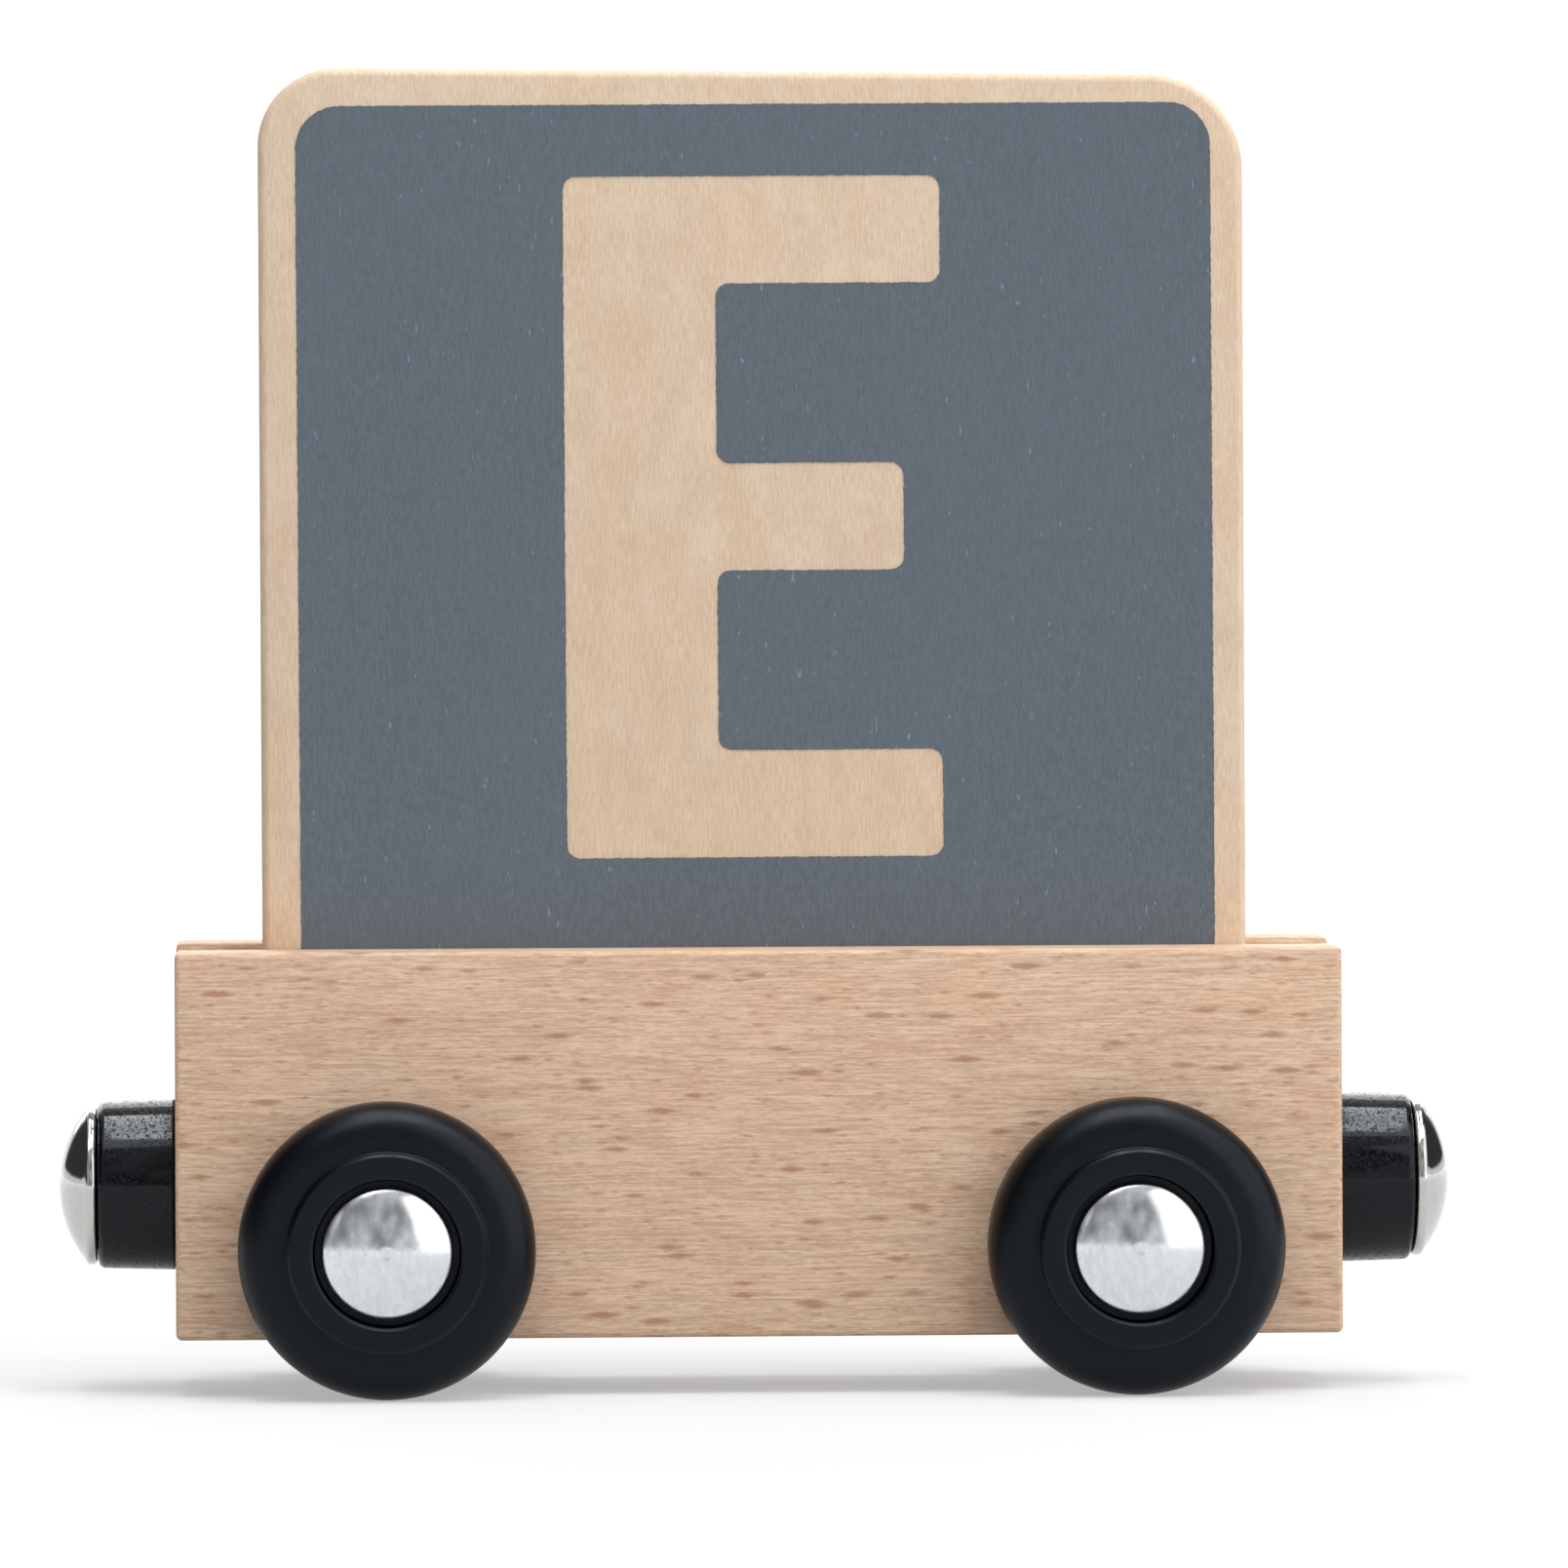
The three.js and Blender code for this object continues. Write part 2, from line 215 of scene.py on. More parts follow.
class WheelSettings(bpy.types.PropertyGroup):
    """Sizes and colours of the wheels, axles and hub caps"""

    bore: length("Bore", "Radius of the wheel's bore", 2.3)
    inner_hub: length("Inner hub", "Radius of the hub towards the block", 4.6)
    inner_hub_length: length("Inner hub length", "How far that hub stands out", 0.7)
    tread: length("Tread", "Width of the tread", 5.0)
    back_round: length("Back round", "Radius of the tread's inner edge", 0.9)
    rim_round: length("Rim round", "Radius of the tread's outer shoulder", 2.4)
    boss: length("Boss", "Radius of the raised boss", 6.8)
    boss_fillet: length("Boss fillet", "Radius at the foot of the boss", 0.18)
    boss_edge: length("Boss edge", "Chamfer of the boss's edges", 0.2)
    recess: length("Recess", "Radius of the recess for the hub cap", 5.05)
    recess_depth: length("Recess depth", "Depth of the recess", 1.8)
    cap_rim: length("Cap rim", "Height of the hub cap's straight rim", 1.0)
    cap_round: length("Cap round", "Radius between that rim and the crown", 0.14)
    cap_gap: length("Cap gap", "Room left over the axle's end in the cap", 0.3)
    cap_pip: length("Cap pip", "Radius of the punch mark in the crown", 0.5)
    cap_pip_depth: length("Cap pip depth", "Depth of that mark", 0.015)
    axle_chamfer: length("Axle chamfer", "Chamfer of the axle's ends", 0.3)
    black: colour("Black", "Colour of the wheels", 0.0012, 0.0020, 0.0038)
    cap_steel: colour("Cap steel", "Colour of the hub caps", 0.680, 0.705, 0.730)
    axle_steel: colour("Axle steel", "Colour of the axles", 0.560, 0.565, 0.570)


class CouplerSettings(bpy.types.PropertyGroup):
    """Sizes and colours of the magnetic couplers"""

    base_radius: length("Base radius", "Radius of the sleeve at the block", 5.9)
    tip_radius: length("Tip radius", "Radius of the sleeve at its open end", 5.75)
    base_chamfer: length("Base chamfer", "Chamfer at the block", 0.15)
    tip_round: length("Tip round", "Radius at the open end", 0.5)
    wall: length("Wall", "Wall of the sleeve", 1.15)
    floor: length("Floor", "Floor of the sleeve", 1.0)
    hole: length("Hole", "Radius of the hole for the nail", 1.55)
    nail: length("Nail", "Radius of the nail's shank", 1.25)
    nail_point: length("Nail point", "Length of the nail's point", 2.0)
    head_seat: length("Head seat", "Distance from the block to the nail's head", 5.45)
    seam: length("Seam", "Open seam on either side of the sleeve", 0.05)
    head_rim: length("Head rim", "Height of the head's straight rim", 0.68)
    head_round: length("Head round", "Radius of the head's edges", 0.33)
    black: colour("Black", "Colour of the sleeves", 0.0014, 0.0018, 0.0030)
    nickel: colour("Nickel", "Colour of the nails", 0.510, 0.512, 0.502)
    ferrite: colour("Ferrite", "Colour of the magnets", 0.035, 0.035, 0.037)


class StageSettings(bpy.types.PropertyGroup):
    """Camera, light and floor"""

    camera_place: FloatVectorProperty(
        name="Camera place",
        description="Where the camera stands",
        default=(-0.0307, -0.7801, 0.0560),
        size=3,
        subtype="TRANSLATION",
        unit="LENGTH",
    )
    camera_yaw: angle("Camera yaw", "Turn of the camera to the right", 2.409)
    camera_pitch: angle("Camera pitch", "Tilt of the camera upwards", -1.057)
    camera_roll: angle("Camera roll", "Roll of the camera to the left", -0.251)
    focal_length: FloatProperty(
        name="Focal length",
        description="Focal length in millimetres for a 36 mm sensor",
        default=259.0,
    )
    floor_width: metres("Floor width", "Width of the floor", 2.7)
    floor_depth: metres("Floor depth", "Depth of the floor, half of it behind the wagon", 6.0)
    wall_height: metres("Wall height", "Height of the backdrop", 3.0)
    sweep_round: metres("Sweep", "Radius between the floor and the backdrop", 1.2)
    floor_white: colour("Floor white", "Colour of the floor and backdrop", 0.42, 0.42, 0.42)
    floor_near: level("Floor near", "White that the floor shows at the wagon", 0.40)
    floor_far: level("Floor far", "White that the floor shows far from it", 0.90)
    room_panel_dark: level("Dark panels", "Darkest panels before the wagon", 0.18)
    room_panel_light: level("Light panels", "Lightest panels before the wagon", 0.80)
    room_ends: level("Ends", "Walls beyond the wagon's ends", 0.05)
    room_ceiling: level("Ceiling", "Ceiling over the wagon", 0.35)
    room_horizon: level("Horizon", "Strip along the horizon and all below it", 0.95)


class WagonSettings(bpy.types.PropertyGroup):
    """All settings of the wagon"""

    block: PointerProperty(type=BlockSettings)
    board: PointerProperty(type=BoardSettings)
    printed: PointerProperty(type=PrintSettings)
    wheel: PointerProperty(type=WheelSettings)
    coupler: PointerProperty(type=CouplerSettings)
    stage: PointerProperty(type=StageSettings)


# Selecting and finishing pieces


def deselect_everything():
    bpy.ops.object.select_all(action="DESELECT")


def only(piece):
    deselect_everything()
    piece.select_set(True)
    bpy.context.view_layer.objects.active = piece


def added(name):
    piece = bpy.context.object
    piece.name = name
    piece.data.name = name
    bpy.ops.object.transform_apply(location=True, rotation=True, scale=True)
    return piece


def box_piece(name, low, high):
    deselect_everything()
    middle = (low + high) / 2
    bpy.ops.mesh.primitive_cube_add(size=1, location=middle, scale=high - low)
    return added(name)


def edit():
    bpy.ops.object.mode_set(mode="EDIT")


def leave_edit():
    bpy.ops.object.mode_set(mode="OBJECT")


def select_where(piece, kind, test):
    """Selects the faces, edges or verts of the piece in edit mode that pass the test."""
    bpy.ops.mesh.select_mode(type={"verts": "VERT", "edges": "EDGE", "faces": "FACE"}[kind])
    bpy.ops.mesh.select_all(action="DESELECT")
    mesh = bmesh.from_edit_mesh(piece.data)
    mesh.normal_update()
    for element in getattr(mesh, kind):
        if test(element):
            element.select_set(True)
    mesh.select_flush_mode()
    bmesh.update_edit_mesh(piece.data)


def clean_up():
    bpy.ops.mesh.select_all(action="SELECT")
    bpy.ops.mesh.remove_doubles(threshold=WELD)
    bpy.ops.mesh.normals_make_consistent(inside=False)


def smooth(piece):
    only(piece)
    bpy.ops.object.shade_smooth_by_angle(angle=math.radians(SMOOTH_DEGREES))


def cut(piece, cutter):
    """Cuts one piece out of another and deletes it."""
    only(piece)
    bpy.ops.object.modifier_add(type="BOOLEAN")
    modifier = piece.modifiers[-1]
    modifier.operation = "DIFFERENCE"
    modifier.solver = "EXACT"
    modifier.object = cutter
    bpy.ops.object.modifier_apply(modifier=modifier.name)
    bpy.data.objects.remove(cutter)


def dressed(piece, body, slot, material, *nodes):
    """Gives a finished piece its material, its body and the nodes it stands for; its slot is not
    used.
    """
    piece.data.materials.clear()
    piece.data.materials.append(material)
    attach(piece, body)
    if nodes:
        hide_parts(*nodes)


# Profiles of turned pieces, as (radius, distance outwards) points


def arc_points(centre, start, end, steps):
    """Points from start to end round a centre, the short way."""
    first = Vector(start) - centre
    last = Vector(end) - centre
    turn = first.angle_signed(last)
    return [centre + Matrix.Rotation(-turn * i / steps, 2) @ first for i in range(steps + 1)]


def rounded(corners, steps=6):
    """A line through (radius, distance, fillet) corners, with each inner corner rounded."""
    points = [Vector(corners[0][:2])]
    for before, corner, after in zip(corners, corners[1:], corners[2:]):
        here = Vector(corner[:2])
        fillet = corner[2]
        if fillet == 0:
            points.append(here)
            continue
        to_before = (Vector(before[:2]) - here).normalized()
        to_after = (Vector(after[:2]) - here).normalized()
        half = to_before.angle(to_after) / 2
        reach = fillet / math.tan(half)
        centre = here + (to_before + to_after).normalized() * (fillet / math.sin(half))
        points += arc_points(centre, here + to_before * reach, here + to_after * reach, steps)
    points.append(Vector(corners[-1][:2]))
    return points


def crown(edge_radius, base, height, steps):
    """A shallow dome from its edge to the axis."""
    ball = (edge_radius**2 + height**2) / (2 * height)
    lift = base + height - ball
    top = math.asin(edge_radius / ball)
    slopes = [top * (1 - i / steps) for i in range(steps + 1)]
    return [Vector((ball * math.sin(t), lift + ball * math.cos(t))) for t in slopes]


def turned_piece(name, profile, origin, outward, steps):
    """Draws a profile by extruding one vertex along it, spins it and smooths it."""
    upright = Vector((0, 0, 1))
    places = [origin + upright * r + outward * out for r, out in profile]
    deselect_everything()
    bpy.ops.mesh.primitive_plane_add(size=MM, location=places[0])
    piece = added(name)
    edit()
    bpy.ops.mesh.select_mode(type="VERT")
    bpy.ops.mesh.select_all(action="SELECT")
    bpy.ops.mesh.merge(type="CENTER")
    for before, after in zip(places, places[1:]):
        bpy.ops.mesh.extrude_region_move(TRANSFORM_OT_translate={"value": after - before})
    bpy.ops.mesh.select_all(action="SELECT")
    bpy.ops.mesh.spin(steps=steps, angle=FULL_TURN, center=origin, axis=outward)
    clean_up()
    leave_edit()
    keep_turning_radius(piece, origin, outward)
    smooth(piece)
    return piece


def keep_turning_radius(piece, origin, outward):
    """Stores each point's distance from the turning axis, in millimetres, for the finish."""
    attribute = piece.data.attributes.new("turning_radius", "FLOAT", "POINT")
    for vertex, item in zip(piece.data.vertices, attribute.data):
        offset = vertex.co - origin
        item.value = (offset - outward * offset.dot(outward)).length / MM


def turned_span(node, along):
    """A turned node's radius, and how far its near and far end lie from the wagon's middle."""
    low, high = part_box(node)
    near, far = sorted((abs(getattr(low, along)), abs(getattr(high, along))))
    return (high.z - low.z) / 2, near, far


def middle_of(node):
    low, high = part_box(node)
    return (low + high) / 2


def copied(master, name, place):
    """A copy of a master piece with its own mesh, moved to its place within that mesh."""
    only(master)
    bpy.ops.object.duplicate()
    piece = bpy.context.object
    piece.name = name
    piece.data.name = name
    piece.matrix_world = place
    bpy.ops.object.transform_apply(location=True, rotation=True, scale=True)
    return piece


def axle_end_places(kind):
    """Yields each like piece on the axles' ends: its side, its end, its node and its place."""
    for side_name, turn in (("front", 0.0), ("back", math.pi)):
        for end_name, _ in WAGON_ENDS:
            node = f"{kind}_{side_name}_{end_name}"
            middle = middle_of(node)
            middle.y = 0
            place = Matrix.Translation(middle) @ Matrix.Rotation(turn, 4, "Z")
            yield side_name, end_name, node, place


# Finishes


class NodeBench:
    """Short ways to add nodes to a node tree."""

    def __init__(self, tree):
        self.nodes = tree.nodes
        self.links = tree.links

    def put(self, socket, value):
        """Links an output to a socket, or sets the socket's own value."""
        if isinstance(value, bpy.types.NodeSocket):
            self.links.new(value, socket)
        elif hasattr(value, "__len__") and socket.type == "RGBA":
            socket.default_value = (*tuple(value)[:3], 1.0)
        else:
            socket.default_value = value

    def scaled(self, vector, scale, turn=(0, 0, 0)):
        """A vector turned by degrees and scaled."""
        node = self.nodes.new("ShaderNodeMapping")
        self.put(node.inputs["Vector"], vector)
        node.inputs["Rotation"].default_value = [math.radians(degrees) for degrees in turn]
        node.inputs["Scale"].default_value = scale
        return node.outputs["Vector"]

    def noise(self, place, detail=3.0, rough=0.5):
        node = self.nodes.new("ShaderNodeTexNoise")
        self.put(node.inputs["Vector"], place)
        self.put(node.inputs["Scale"], 1.0)
        self.put(node.inputs["Detail"], detail)
        self.put(node.inputs["Roughness"], rough)
        return node.outputs["Fac"]

    def spread(self, value, low, high, to_low=0.0, to_high=1.0):
        """Maps low..high to to_low..to_high, clamped."""
        node = self.nodes.new("ShaderNodeMapRange")
        node.interpolation_type = "SMOOTHSTEP"
        for name, setting in zip(
            ("Value", "From Min", "From Max", "To Min", "To Max"),
            (value, low, high, to_low, to_high),
        ):
            self.put(node.inputs[name], setting)
        return node.outputs["Result"]

    def between(self, noise, low=0.0, high=1.0):
        """Maps the range in which most of a noise lies to low..high, clamped."""
        return self.spread(noise, *NOISE_RANGE, low, high)

    def math(self, operation, first, second=0.0):
        node = self.nodes.new("ShaderNodeMath")
        node.operation = operation
        self.put(node.inputs[0], first)
        self.put(node.inputs[1], second)
        return node.outputs["Value"]

    def times(self, first, second):
        return self.math("MULTIPLY", first, second)

    def mix(self, share, first, second, blend="MIX"):
        node = self.nodes.new("ShaderNodeMix")
        node.data_type = "RGBA"
        node.blend_type = blend
        self.put(node.inputs["Factor"], share)
        for index, value in zip(MIX_COLOURS, (first, second)):
            self.put(node.inputs[index], value)
        return node.outputs[MIX_RESULT]

    def split(self, vector):
        node = self.nodes.new("ShaderNodeSeparateXYZ")
        self.put(node.inputs["Vector"], vector)
        return node.outputs[:3]


class Finish(NodeBench):
    """A node material with one Principled shader."""

    def __init__(self, name):
        self.material = bpy.data.materials.new(name)
        self.material.use_nodes = True
        super().__init__(self.material.node_tree)
        self.shader = self.nodes["Principled BSDF"]

    def set(self, **sockets):
        for name, value in sockets.items():
            self.put(self.shader.inputs[name.replace("_", " ")], value)

    def place(self, scale=(1, 1, 1), turn=(0, 0, 0)):
        """Object coordinates, in repeats per millimetre."""
        coordinates = self.nodes.new("ShaderNodeTexCoord")
        return self.scaled(coordinates.outputs["Object"], PER_MM * Vector(scale), turn)

    def grain(self, scale, turn=(0, 0, 0), detail=3.0, rough=0.5):
        """Noise in object coordinates, in repeats per millimetre."""
        return self.noise(self.place(scale, turn), detail, rough)

    def swayed(self, place, sway, amount):
        """A place moved about by a noise of its own scale."""
        node = self.nodes.new("ShaderNodeVectorMath")
        node.operation = "MULTIPLY_ADD"
        self.put(node.inputs[0], self.grain(sway, detail=2))
        node.inputs[1].default_value = (amount, amount, amount)
        self.put(node.inputs[2], place)
        return node.outputs["Vector"]

    def rays(self, scale, turn, reach):
        """Spindle-shaped flecks, one in the middle of each cell, of all sizes up to a reach."""
        cells = self.nodes.new("ShaderNodeTexVoronoi")
        cells.distance = "MINKOWSKI"
        cells.inputs["Exponent"].default_value = 1.35
        place = self.swayed(self.place(scale, turn), (2.2, 5.0, 5.0), 0.22)
        self.put(cells.inputs["Vector"], place)
        cells.inputs["Scale"].default_value = 1.0
        chance, _, _ = self.split(cells.outputs["Color"])
        size = self.spread(chance, 0.20, 0.95, 0.0, reach)
        share = self.math("DIVIDE", cells.outputs["Distance"], self.math("ADD", size, 0.001))
        return self.spread(share, 0.30, 1.0, 1.0, 0.0)

    def attribute(self, name):
        node = self.nodes.new("ShaderNodeAttribute")
        node.attribute_name = name
        return node.outputs["Fac"]

    def bump(self, height, strength, depth, normal=None):
        node = self.nodes.new("ShaderNodeBump")
        self.put(node.inputs["Height"], height)
        node.inputs["Strength"].default_value = strength
        node.inputs["Distance"].default_value = depth
        if normal is not None:
            self.links.new(normal, node.inputs["Normal"])
        return node.outputs["Normal"]


def beech_finish(settings):
    """Sanded beech: fine fibres and faint streaks that rise to the right, and short rays."""
    wood = Finish("sanded_beech")
    rise = (0, 3.5, 0)
    wavy = wood.swayed(wood.place((0.28, 6.5, 6.5), rise), (0.08, 0.20, 0.20), 3.0)
    fibres = wood.noise(wavy, detail=3, rough=0.7)
    nap = wood.grain((1.8, 7.5, 7.5), rise, detail=2)
    strands = wood.grain((0.10, 1.9, 1.9), rise, detail=3, rough=0.6)
    streaks = wood.grain((0.035, 0.42, 0.42), rise, detail=2)
    tone = wood.times(streaks, 0.10)
    for layer, share in ((fibres, 0.53), (nap, 0.25), (strands, 0.12)):
        tone = wood.math("ADD", tone, wood.times(layer, share))
    base = wood.mix(wood.spread(tone, 0.38, 0.62), settings.dark_wood, settings.light_wood)
    patches = wood.grain((0.14, 0.42, 0.42), rise, detail=2)
    base = wood.mix(wood.spread(patches, 0.38, 0.62), base, settings.pink_wood, "MULTIPLY")
    long_rays = wood.rays((0.27, 1.30, 1.30), (0, 6.0, 0), 0.50)
    short_rays = wood.rays((0.60, 2.40, 2.40), (0, 4.5, 0), 0.46)
    rays = wood.math("MAXIMUM", long_rays, wood.times(short_rays, 0.65))
    wood.set(
        Base_Color=wood.mix(wood.times(rays, 0.82), base, settings.fleck),
        Roughness=wood.between(fibres, 0.66, 0.54),
        Normal=wood.bump(fibres, 0.2, 0.03 * MM),
        Specular_IOR_Level=WOOD_SPECULAR,
    )
    return wood.material


def veneer_finish(settings):
    """Pale sanded veneer: soft mottling, fine upright fibres and short brown pores."""
    wood = Finish("pale_veneer")
    fibres = wood.grain((7.5, 7.5, 0.90), detail=2, rough=0.7)
    mottle = wood.grain((0.50, 0.50, 0.20), detail=3, rough=0.55)
    tone = wood.math("ADD", wood.times(fibres, 0.65), wood.times(mottle, 0.35))
    base = wood.mix(wood.spread(tone, 0.34, 0.66), settings.veneer_dark, settings.veneer_light)
    blush = wood.grain((0.16, 0.16, 0.06), detail=2)
    base = wood.mix(wood.spread(blush, 0.4, 0.64), base, settings.veneer_pink, "MULTIPLY")
    pores = wood.grain((6.0, 6.0, 1.3), detail=2)
    wood.set(
        Base_Color=wood.mix(wood.spread(pores, 0.58, 0.76, 0.0, 0.4), base, settings.veneer_pore),
        Roughness=wood.between(fibres, 0.7, 0.58),
        Normal=wood.bump(fibres, 0.25, 0.04 * MM),
        Specular_IOR_Level=WOOD_SPECULAR,
    )
    return wood.material


def core_finish(settings):
    """The crosswise ply, whose end grain shows on the board's upright edges."""
    wood = Finish("core_ply")
    lines = wood.grain((0.12, 4.0, 4.0), detail=4, rough=0.6)
    pores = wood.spread(wood.grain((0.6, 5.0, 5.0), detail=1), 0.62, 0.78, 0.0, 0.5)
    base = wood.mix(wood.between(lines), settings.core_wood, settings.veneer_light)
    wood.set(
        Base_Color=wood.mix(pores, base, settings.core_wood),
        Roughness=wood.between(lines, 0.76, 0.66),
        Normal=wood.bump(lines, 0.3, 0.05 * MM),
    )
    return wood.material


def print_finish(settings):
    """Thin satin paint with the fine upright ribs of the veneer below, and a few nicks painted
    lighter as a painted highlight.
    """
    paint = Finish("slate_print")
    ribs = paint.grain((6.5, 6.5, 1.50), detail=2, rough=0.7)
    broad = paint.grain((0.05, 0.05, 0.04), detail=2)
    slate = Vector(settings.slate)
    tone = paint.mix(paint.between(ribs), slate * 0.88, slate * 1.13)
    tone = paint.mix(paint.between(broad, 0.0, 0.3), tone, slate * 1.1)
    # The nicks get a lighter slate: a painted highlight, standing in for the light their raised
    # sides catch.
    nicks = paint.grain((3.6, 3.6, 1.10), (0, -3, 0), detail=1)
    nick_highlight = paint.spread(nicks, 0.735, 0.80, 0.0, 0.5)
    paint.set(
        Base_Color=paint.mix(nick_highlight, tone, slate * 2.6),
        Roughness=paint.between(ribs, 0.6, 0.5),
        Normal=paint.bump(ribs, 0.5, 0.05 * MM),
        Specular_IOR_Level=WOOD_SPECULAR,
    )
    return paint.material


def wheel_finish(settings):
    """Satin black with faint turning lines and a fine skin."""
    black = Finish("satin_black")
    radius = black.attribute("turning_radius")
    wobble = black.grain((0.6, 0.6, 0.6), detail=2)
    rings = black.noise(black.times(radius, 7.0), detail=2)
    skin = black.grain((5.0, 5.0, 5.0), detail=3)
    black.set(
        Base_Color=black.mix(skin, Vector(settings.black) * 0.85, Vector(settings.black) * 1.2),
        Roughness=black.between(wobble, 0.32, 0.39),
        Normal=black.bump(rings, 0.1, 0.02 * MM, black.bump(skin, 0.3, 0.03 * MM)),
        Specular_IOR_Level=0.225,
        Specular_Tint=(0.80, 0.90, 1.0),
    )
    return black.material


def cap_finish(settings):
    """Polished steel, a little hazy, with faint turning marks and fine scratches."""
    steel = Finish("turned_steel")
    radius = steel.attribute("turning_radius")
    rings = steel.noise(steel.times(radius, 9.0), detail=3, rough=0.7)
    haze = steel.grain((2.0, 2.0, 1.2), detail=4, rough=0.7)
    scratches = steel.grain((7.0, 7.0, 0.35), (0, 35, 0), detail=1)
    bright = Vector(settings.cap_steel)
    dulled = steel.mix(steel.between(haze), bright * 0.92, bright * 1.06)
    steel.set(
        Base_Color=steel.mix(steel.spread(scratches, 0.66, 0.74, 0.0, 0.2), dulled, bright * 0.6),
        Metallic=1.0,
        Roughness=steel.between(haze, 0.20, 0.13),
        Normal=steel.bump(rings, 0.05, 0.01 * MM),
    )
    return steel.material


def axle_finish(settings):
    """Drawn steel rod with lengthwise lines."""
    steel = Finish("drawn_steel")
    lines = steel.grain((6.0, 0.1, 6.0), detail=3)
    rod = Vector(settings.axle_steel)
    steel.set(
        Base_Color=steel.mix(lines, rod * 0.85, rod),
        Metallic=1.0,
        Roughness=steel.between(lines, 0.28, 0.42),
        Normal=steel.bump(lines, 0.15, 0.02 * MM),
    )
    return steel.material


def sleeve_finish(settings):
    """Semi-gloss black with a speckled skin and scratches that run round it."""
    black = Finish("speckled_black")
    speckle = black.grain((4.6, 4.6, 4.6), detail=3, rough=0.85)
    scratches = black.grain((6.5, 0.08, 0.08), detail=3, rough=0.7)
    scratched = black.spread(scratches, 0.6, 0.72)
    base = Vector(settings.black)
    black.set(
        Base_Color=black.mix(black.times(scratched, 0.5), base, base * 2.6),
        Roughness=black.spread(speckle, 0.49, 0.60, 0.07, 0.60),
        Normal=black.bump(scratches, 0.08, 0.01 * MM),
        Specular_IOR_Level=0.26,
        Specular_Tint=(0.86, 0.93, 1.0),
    )
    return black.material


def nickel_finish(settings):
    """Polished plate with a slight waviness and fine handling marks."""
    plate = Finish("polished_nickel")
    waves = plate.grain((0.35, 0.35, 0.35), detail=2)
    marks = plate.grain((4.0, 1.2, 4.0), (20, 35, 10), detail=3)
    bright = Vector(settings.nickel)
    plate.set(
        Base_Color=plate.mix(plate.spread(marks, 0.4, 0.75), bright, bright * 0.94),
        Metallic=1.0,
        Roughness=plate.spread(marks, 0.45, 0.75, 0.06, 0.13),
        Normal=plate.bump(waves, 0.06, 0.05 * MM),
    )
    return plate.material


def ferrite_finish(settings):
    """Dull sintered ferrite."""
    dull = Finish("sintered_ferrite")
    grit = dull.grain((6.0, 6.0, 6.0), detail=3)
    grey = Vector(settings.ferrite)
    dull.set(
        Base_Color=dull.mix(grit, grey * 0.8, grey * 1.3),
        Roughness=dull.between(grit, 0.6, 0.75),
        Normal=dull.bump(grit, 0.2, 0.03 * MM),
    )
    return dull.material


# Operators, one for each piece or group of like pieces


class LETTERWAGON_OT_beech_block(bpy.types.Operator):
    """Makes the grooved beech block with its sanded edges, bores and nail holes"""

    bl_idname = "letter_wagon.beech_block"
    bl_label = "Beech Block"
    bl_options = {"REGISTER", "UNDO"}

    def execute(self, context):
        settings = context.scene.letter_wagon.block
        wheel = context.scene.letter_wagon.wheel
        coupler = context.scene.letter_wagon.coupler
        block = box_piece("beech_block", BLOCK_LOW, BLOCK_HIGH)
        self.cut_groove(block, settings)
        self.sand_edges(block, settings)
        for end_name, end in WAGON_ENDS:
            axle = JOINT_PLACE[f"front_{end_name}_wheel"].copy()
            axle.y = BLOCK_LOW.y - MM
            thickness = BLOCK_HIGH.y - BLOCK_LOW.y + 2 * MM
            cut(block, rod_cutter(wheel.bore, thickness, axle, Vector((0, 1, 0))))

            _, point, _ = turned_span(f"{end_name}_coupler_nail", "x")
            bite = BLOCK_HIGH.x - point + settings.bore_gap
            mouth = JOINT_PLACE[f"{end_name}_coupler"].copy()
            mouth.x = end * (BLOCK_HIGH.x + MM)
            cut(block, rod_cutter(coupler.hole, bite + MM, mouth, Vector((-end, 0, 0))))
        smooth(block)
        dressed(block, "chassis", "beech", beech_finish(settings), "chassis_block")
        return {"FINISHED"}

    def cut_groove(self, block, settings):
        low = Vector((BLOCK_LOW.x - MM, FRONT_FACE, BLOCK_HIGH.z - settings.groove_depth))
        high = Vector((BLOCK_HIGH.x + MM, BACK_FACE, BLOCK_HIGH.z + MM))
        gap = Vector((0, settings.groove_gap, 0))
        cut(block, box_piece("groove_cutter", low - gap, high + gap))
        only(block)
        edit()
        top = BLOCK_HIGH.z - SAME_LEVEL
        select_where(block, "verts", lambda vertex: vertex.co.y < 0 and vertex.co.z > top)
        bpy.ops.transform.translate(value=(0, 0, -settings.front_drop))
        leave_edit()

    def sand_edges(self, block, settings):
        """Rounds the outer edges fully and the groove's upper edges a little."""
        weights = block.data.attributes.new("bevel_weight_edge", "FLOAT", "EDGE")
        floor = BLOCK_HIGH.z - settings.groove_depth
        for edge, weight in zip(block.data.edges, weights.data):
            ends = [block.data.vertices[i].co for i in edge.vertices]
            middle = (ends[0] + ends[1]) / 2
            in_groove = all(abs(v.y) < 0.9 * BLOCK_HIGH.y for v in ends)
            on_floor = abs(middle.z - floor) < SAME_LEVEL and in_groove
            weight.value = 0 if on_floor else settings.groove_ease / settings.edge_round
            if not in_groove:
                weight.value = 1
        only(block)
        bpy.ops.object.modifier_add(type="BEVEL")
        bevel = block.modifiers[-1]
        bevel.limit_method = "WEIGHT"
        bevel.width = settings.edge_round
        bevel.segments = 4
        bpy.ops.object.modifier_apply(modifier=bevel.name)


def rod_cutter(radius, reach, start, inward):
    """A round cutter from a point inwards."""
    deselect_everything()
    bpy.ops.mesh.primitive_cylinder_add(
        vertices=64,
        radius=radius,
        depth=reach,
        location=start + inward * (reach / 2),
        rotation=inward.to_track_quat("Z", "Y").to_euler(),
    )
    return added("rod_cutter")


